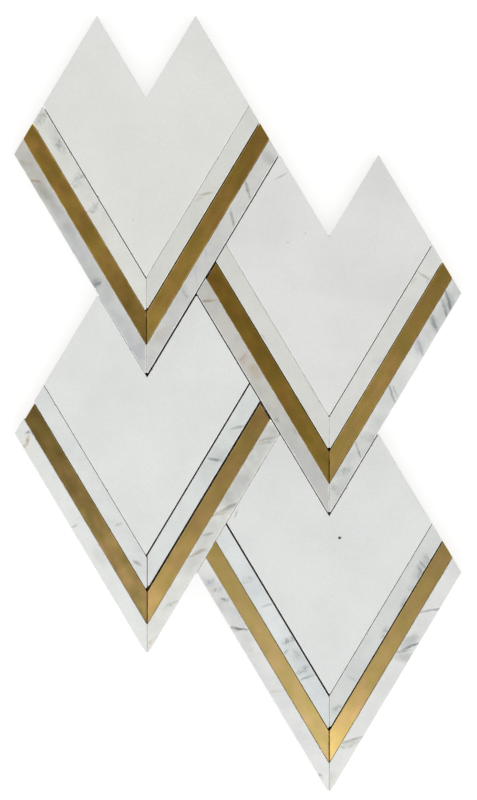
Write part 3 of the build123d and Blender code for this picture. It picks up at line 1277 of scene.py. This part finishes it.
# the veins, clots and clouds that show on each border strip
STRIP_VEINS: dict[str, tuple[Vein, ...]] = {
    "outer_left_a": (
        Vein(-131, 149, -20, 9, 2.5, Tint.OLIVE, 0.4),
        Vein(-125, 138, -10, 8, 1.2, Tint.BROWN, 0.6),
        Vein(-120, 132, -50, 12, 5, Tint.GREY, 0.3),
        Vein(-110, 117, -59, 34, 6, Tint.GREY, 0.36),
        Vein(-100, 98, -59, 30, 5, Tint.LILAC, 0.2),
        Vein(-125.7, 142.4, -59, 44, 14, Tint.TAN, 0.14),
        Vein(-87, 74, 25, 4.5, 1.4, Tint.DARK, 0.8),
        Vein(-88, 74.5, 30, 7, 5, Tint.GREY, 0.4),
        Vein(-69, 42, -59, 50, 9, Tint.LILAC, 0.4),
    ),
    "inner_left_a": (
        Vein(-110.5, 160, -50, 11, 4.8, Tint.MIST, 0.6),
        Vein(-111, 161.5, 60, 3.6, 2.2, Tint.GREY, 0.6),
        Vein(-121.5, 177, 60, 10, 4.8, Tint.MIST, 0.55),
        Vein(-113, 168, -59, 14, 7, Tint.MIST, 0.2),
        Vein(-99, 139, 60, 13, 4.8, Tint.MIST, 0.44),
        Vein(-96.5, 141, 30, 4, 2.2, Tint.GREY, 0.3),
        Vein(-94, 132, -59, 14, 7, Tint.MIST, 0.2),
        Vein(-88.5, 122, 50, 7, 3.4, Tint.MIST, 0.5),
        Vein(-90.5, 119, -20, 4, 1.4, Tint.GREY, 0.4),
        Vein(-82.5, 117, 40, 4, 3, Tint.ROSE, 0.2),
    ),
    "inner_right_a": (
        Vein(-20, 130, 10, 8, 1.4, Tint.OLIVE, 0.5),
        Vein(-24, 127, 30, 6, 2, Tint.TAN, 0.25),
    ),
    "outer_right_a": (
        Vein(6, 133, -72, 13, 1.3, Tint.GREY, 0.85),
        Vein(-3.5, 115, -79, 11, 1.3, Tint.GREY, 0.8),
        Vein(19, 152, -60, 10, 5, Tint.GREY, 0.28),
        Vein(-20, 93, -85, 8, 1, Tint.LILAC, 0.5),
        Vein(-26, 79, -80, 8, 1, Tint.LILAC, 0.5),
        Vein(-33, 70, -70, 12, 3, Tint.GREY, 0.3),
        Vein(-48, 43, 40, 12, 4, Tint.TAN, 0.25),
    ),
    "outer_left_b": (
        Vein(-18, 64, 5, 11, 1.2, Tint.BROWN, 0.6),
        Vein(4, 28, 50, 9, 5.5, Tint.ROSE, 0.4),
        Vein(3.5, 29, 50, 6, 1.2, Tint.BROWN, 0.35),
        Vein(10.5, 20.5, -60, 10, 5.5, Tint.TAN, 0.4),
        Vein(17, 17, -30, 4, 1, Tint.ROSE, 0.4),
        Vein(24, 5, -50, 4, 1.5, Tint.ROSE, 0.35),
        Vein(36, -18, -55, 7, 1.6, Tint.TAN, 0.4),
        Vein(24, -10, -30, 4.5, 2.2, Tint.GREY, 0.45),
        Vein(45, -41, -59, 40, 7, Tint.LILAC, 0.3),
        Vein(27.5, -10.5, -59, 40, 12, Tint.GREY, 0.13),
    ),
    "inner_left_b": (
        Vein(16, 41, -59, 4, 1.4, Tint.ROSE, 0.3),
    ),
    "inner_right_b": (
        Vein(115, 79.2, -34, 8, 1.3, Tint.OLIVE, 0.5),
        Vein(118, 77, 60, 5, 2.2, Tint.GREY, 0.3),
        Vein(108, 76, 40, 5, 2.5, Tint.TAN, 0.3),
        Vein(87, 27, 20, 9, 3, Tint.LILAC, 0.3),
    ),
    "outer_right_b": (
        Vein(130.4, 63.8, -73, 14, 1.2, Tint.DARK, 0.9),
        Vein(128.4, 58.5, -71, 13, 1.4, Tint.GREY, 0.75),
        Vein(131.5, 62, -73, 12, 5, Tint.GREY, 0.35),
        Vein(122.1, 49.2, -70, 12, 1.4, Tint.GREY, 0.75),
        Vein(120.4, 50.6, -68, 11, 1.4, Tint.GREY, 0.5),
        Vein(121, 51, -65, 11, 5, Tint.GREY, 0.3),
        Vein(113.2, 34.3, -71, 12, 1.4, Tint.GREY, 0.65),
        Vein(112, 36, -65, 12, 5, Tint.LILAC, 0.5),
        Vein(95.5, 6.4, -73, 11, 1.0, Tint.GREY, 0.75),
        Vein(97.5, 8, -70, 7, 0.8, Tint.GREY, 0.5),
        Vein(81, -20.5, -20, 11, 5, Tint.GREY, 0.5),
        Vein(81.5, -17.4, 59, 24, 12, Tint.GREY, 0.15),
        Vein(74.6, -28.5, -73, 11, 0.9, Tint.GREY, 0.7),
        Vein(66, -41.5, 20, 10, 4, Tint.MIST, 0.45),
        Vein(60, -52.5, -45, 9, 3, Tint.MIST, 0.4),
        Vein(67, -42, 59, 50, 11, Tint.GREY, 0.2),
        Vein(127, 58, 59, 45, 11, Tint.GREY, 0.2),
    ),
    "outer_left_c": (
        Vein(-130, -17.5, 0, 2.6, 2, Tint.GREY, 0.6),
        Vein(-131, -24, 65, 9, 1.8, Tint.TAN, 0.7),
        Vein(-101.5, -75.5, 20, 4, 1.6, Tint.MIST, 0.5),
        Vein(-85, -94.5, -59, 14, 6, Tint.MIST, 0.15),
    ),
    "inner_left_c": (
        Vein(-73.5, -74.5, 20, 4.5, 1.4, Tint.MIST, 0.6),
        Vein(-72, -79, -59, 60, 12, Tint.GREY, 0.1),
        Vein(-62, -98.5, -30, 5.5, 1.4, Tint.GREY, 0.65),
    ),
    "inner_right_c": (
        Vein(0.5, -14.5, 15, 10, 1.3, Tint.GREY, 0.6),
        Vein(-14.5, -34.5, -10, 8, 1.4, Tint.DARK, 0.65),
        Vein(-8, -25, 59, 45, 11, Tint.GREY, 0.2),
    ),
    "outer_right_c": (
        Vein(18.5, -21.5, 15, 12, 1.2, Tint.ROSE, 0.65),
        Vein(17, -24, 10, 9, 1.3, Tint.GREY, 0.4),
        Vein(-8, -65.5, 22, 16, 1.4, Tint.ROSE, 0.65),
        Vein(-4.5, -63, 25, 10, 1.2, Tint.GREY, 0.6),
        Vein(-11, -68, 10, 8, 1.2, Tint.ROSE, 0.55),
        Vein(-18.5, -80.5, 10, 6, 1.2, Tint.GREY, 0.55),
        Vein(-26, -93, 22, 11, 1.2, Tint.ROSE, 0.65),
        Vein(-23.5, -91, 20, 8, 1.4, Tint.OLIVE, 0.5),
        Vein(-41, -124, 20, 10, 2, Tint.MIST, 0.45),
        Vein(-2.4, -56.2, 59, 105, 12, Tint.GREY, 0.29),
        Vein(9.7, -36, 59, 60, 12, Tint.GREY, 0.2),
        Vein(18, -22, 59, 30, 12, Tint.GREY, 0.3),
        Vein(-52.5, -146, 30, 8, 2, Tint.TAN, 0.4),
    ),
    "outer_left_d": (
        Vein(-17, -110, 30, 6, 3, Tint.LILAC, 0.7),
        Vein(-12.5, -115, 20, 5, 2.2, Tint.GREY, 0.5),
        Vein(-8.5, -121, 10, 5.5, 2.4, Tint.GREY, 0.65),
        Vein(0, -139, -8, 12, 1.1, Tint.DARK, 0.85),
        Vein(-2.5, -139, -20, 7, 2.5, Tint.GREY, 0.4),
        Vein(24, -178, 5, 9, 1.2, Tint.ROSE, 0.35),
        Vein(50.5, -230, -40, 5, 2.6, Tint.GREY, 0.55),
        Vein(7.5, -152, 30, 6, 2, Tint.TAN, 0.25),
        Vein(-8, -125, -59, 60, 11, Tint.GREY, 0.27),
    ),
    "inner_left_d": (
        Vein(6, -109, 20, 9, 3, Tint.MIST, 0.45),
        Vein(18, -124.5, 15, 7, 1.1, Tint.GREY, 0.55),
        Vein(32.5, -146, 25, 10, 3, Tint.GREY, 0.65),
        Vein(29, -153.5, 35, 5, 1.2, Tint.GREY, 0.45),
        Vein(36, -156.5, -59, 36, 9, Tint.GREY, 0.13),
        Vein(37, -155.5, -50, 8, 3, Tint.MIST, 0.5),
        Vein(39.5, -165, 35, 10, 3, Tint.GREY, 0.45),
        Vein(42.7, -169.4, 24, 9, 1.2, Tint.GREY, 0.65),
        Vein(46, -185, -59, 30, 9, Tint.LILAC, 0.05),
    ),
    "inner_right_d": (
        Vein(114.6, -99.8, -50, 6, 1.2, Tint.GREY, 0.65),
        Vein(113.4, -103.2, -60, 8, 1.3, Tint.GREY, 0.6),
        Vein(112.2, -106, 75, 6, 1.2, Tint.GREY, 0.45),
        Vein(113.6, -102.5, 59, 16, 6, Tint.GREY, 0.3),
        Vein(116.7, -96.2, -70, 7, 3, Tint.MIST, 0.5),
        Vein(107.2, -114, 50, 7, 3, Tint.MIST, 0.45),
        Vein(102.7, -122.2, 60, 6, 3.2, Tint.GREY, 0.75),
        Vein(90.7, -141.3, 60, 7, 3.2, Tint.GREY, 0.55),
        Vein(70.4, -169.8, -30, 6, 1.2, Tint.MIST, 0.55),
        Vein(61.5, -188.8, 30, 7, 4, Tint.MIST, 0.65),
    ),
    "outer_right_d": (
        Vein(120.5, -127.5, 12, 15, 0.9, Tint.GREY, 0.8),
        Vein(108, -149.5, 22, 14, 1.1, Tint.GREY, 0.85),
        Vein(106, -147, 35, 12, 5, Tint.GREY, 0.4),
        Vein(101.5, -153, 10, 10, 1.0, Tint.GREY, 0.6),
        Vein(103, -156.5, 0, 12, 5, Tint.GREY, 0.3),
        Vein(99, -142, 50, 12, 3, Tint.GREY, 0.35),
        Vein(70.5, -208, 18, 15, 1.1, Tint.GREY, 0.65),
        Vein(68, -211, 20, 11, 3, Tint.OLIVE, 0.5),
        Vein(69, -210, 20, 13, 5, Tint.OLIVE, 0.25),
        Vein(55, -232, 30, 10, 6, Tint.TAN, 0.3),
    ),
}

# the few marks on each field
FIELD_MARKS: dict[str, tuple[Vein, ...]] = {
    "a": (Vein(-64.5, 114, 0, 1.6, 1.2, Tint.LILAC, 0.5),),
    "b": (Vein(27, 141, 30, 8, 0.9, Tint.GREY, 0.6), Vein(42, 105.5, 0, 1.5, 1, Tint.MIST, 0.6),
          Vein(31, 100, 0, 1.5, 1, Tint.MIST, 0.6), Vein(84, 75, 30, 40, 22, Tint.ROSE, 0.06)),
    "c": (),
    "d": (Vein(63.1, -82.9, 10, 1.5, 0.9, Tint.PIT, 5.0), Vein(-1, -68, 65, 5, 0.8, Tint.GREY, 0.7)),
}

# of each bar: its colour, the colour of its marks, the painted light and shade along its length as shares
# of its colour that it keeps, and its clouding
BAR_TONES: dict[str, tuple[str, str, tuple[float, float, float], float]] = {
    "left_a": ("d3bb70", "e1bc80", (0.58, 1.12, 1.2), 0.2),
    "right_a": ("d7bd6f", "e4c07d", (1.14, 1.1, 0.82), 0.12),
    "left_b": ("b2994e", "bd9a58", (0.97, 1.04, 1.06), 0.14),
    "right_b": ("ccb56b", "dcb97e", (0.86, 1.15, 0.93), 0.08),
    "left_c": ("b5a165", "c3a473", (0.9, 1.22, 0.8), 0.22),
    "right_c": ("c4ac6a", "d0ae78", (1.29, 1.02, 0.91), 0.11),
    "left_d": ("baa767", "c8ac79", (0.86, 0.88, 1.2), 0.05),
    "right_d": ("af995e", "b99b6b", (1.66, 0.9, 0.95), 0.08),
}

# where the bottom point of each unit lies, in mm from the middle of the sheet
UNIT_POINTS = {
    "a": (-56.5946, 17.612),
    "b": (56.56, -68.41),
    "c": (-56.077, -155.274),
    "d": (56.5946, -241.133),
}

# where the point of unit a would lie without its own shift, which the net is set out from, in mm
NET_POINT = (-56.28, 17.58)

# joints of each half, in mm: outer border to brass, brass to inner border, inner border to field
UNIT_JOINTS = {
    "a": {Side.LEFT: (0.2, 0.4, 0.55), Side.RIGHT: (0.35, 0.8, 0.2)},
    "b": {Side.LEFT: (0.2, 0.7, 0.2), Side.RIGHT: (0.35, 0.6, 0.5)},
    "c": {Side.LEFT: (0.3, 0.5, 0.35), Side.RIGHT: (0.2, 1.3, 0.95)},
    "d": {Side.LEFT: (0.2, 0.4, 1.1), Side.RIGHT: (0.2, 0.8, 0.4)},
}

# the bars that are cut shorter than the borders beside them, in mm
BAR_CUTS = {"left_b": 0.8, "left_c": 0.9, "right_c": 0.9}

# joints at the mitres of the inner borders, in mm
INNER_MITRES = {"a": 0.2, "b": 0.2, "c": 0.5, "d": 0.3}

# main colour and cloud colour of each field, then of each border strip
FIELD_TONES = {
    "a": ("e2e3e2", "dcdddb"),
    "b": ("e0e1e1", "d8dad9"),
    "c": ("e1e4e4", "dadddd"),
    "d": ("dee1e1", "d6d9d9"),
}

STRIP_TONES = {
    "outer_left_a": ("d2d4d2", "bcc0bf"),
    "inner_left_a": ("dfe0dc", "d7d8d3"),
    "inner_right_a": ("d8dad6", "d0d2cd"),
    "outer_right_a": ("d2d3d0", "c2c4c4"),
    "outer_left_b": ("c8c8c2", "b4b5b2"),
    "inner_left_b": ("d8dad6", "d0d2ce"),
    "inner_right_b": ("dbddda", "d2d4d1"),
    "outer_right_b": ("dfe1de", "d0d3d3"),
    "outer_left_c": ("e6e9e8", "dde0de"),
    "inner_left_c": ("e0e4e3", "d4d8d8"),
    "inner_right_c": ("dbe0df", "d1d6d6"),
    "outer_right_c": ("e7e8e3", "d8d9d6"),
    "outer_left_d": ("e3e5e3", "d4d7d8"),
    "inner_left_d": ("dde2e3", "cfd5d7"),
    "inner_right_d": ("d4d8d6", "c8cccc"),
    "outer_right_d": ("e1e3e1", "d6d8d7"),
}

# how far apart in the block the pieces were cut, in mm: fields, strips of a unit, strips of the next unit
FIELD_SHIFT = 300.0
STRIP_SHIFT = 90.0
UNIT_SHIFT = 400.0


def border_stones(letter: str) -> dict[tuple[Band, Side], VeinedMarble]:
    """Finishes of a unit's four border strips.

    Args:
        letter: Which unit.

    Returns:
        The finish for each strip and half.
    """
    stones = {}
    for band in (Band.OUTER, Band.INNER):
        for side in Side:
            key = f"{band.name.lower()}_{side.value}_{letter}"
            tone, cloud = STRIP_TONES[key]
            shift = STRIP_SHIFT * len(stones) + UNIT_SHIFT * LETTERS.index(letter)
            stone = VeinedMarble(f"veined_marble_{key}", tone, cloud, STRIP_VEINS[key], shift)
            stones[(band, side)] = stone
    return stones


def main() -> None:
    """Builds the sheet and the studio."""
    logging.basicConfig(level=logging.INFO, format="%(name)s %(message)s")
    for letter in LETTERS:
        tone, cloud = FIELD_TONES[letter]
        shift = FIELD_SHIFT * LETTERS.index(letter)
        stone = WhiteMarble(f"white_marble_{letter}", tone, cloud, FIELD_MARKS[letter], shift)
        ChevronUnit(letter, UNIT_POINTS[letter], UNIT_JOINTS[letter], INNER_MITRES[letter], stone,
                    border_stones(letter)).build()
        LOG.info("unit %s is laid", letter)
    MeshBacking().build(NET_POINT, GlassYarn())
    Studio().build()


if __name__ == "__main__":
    main()
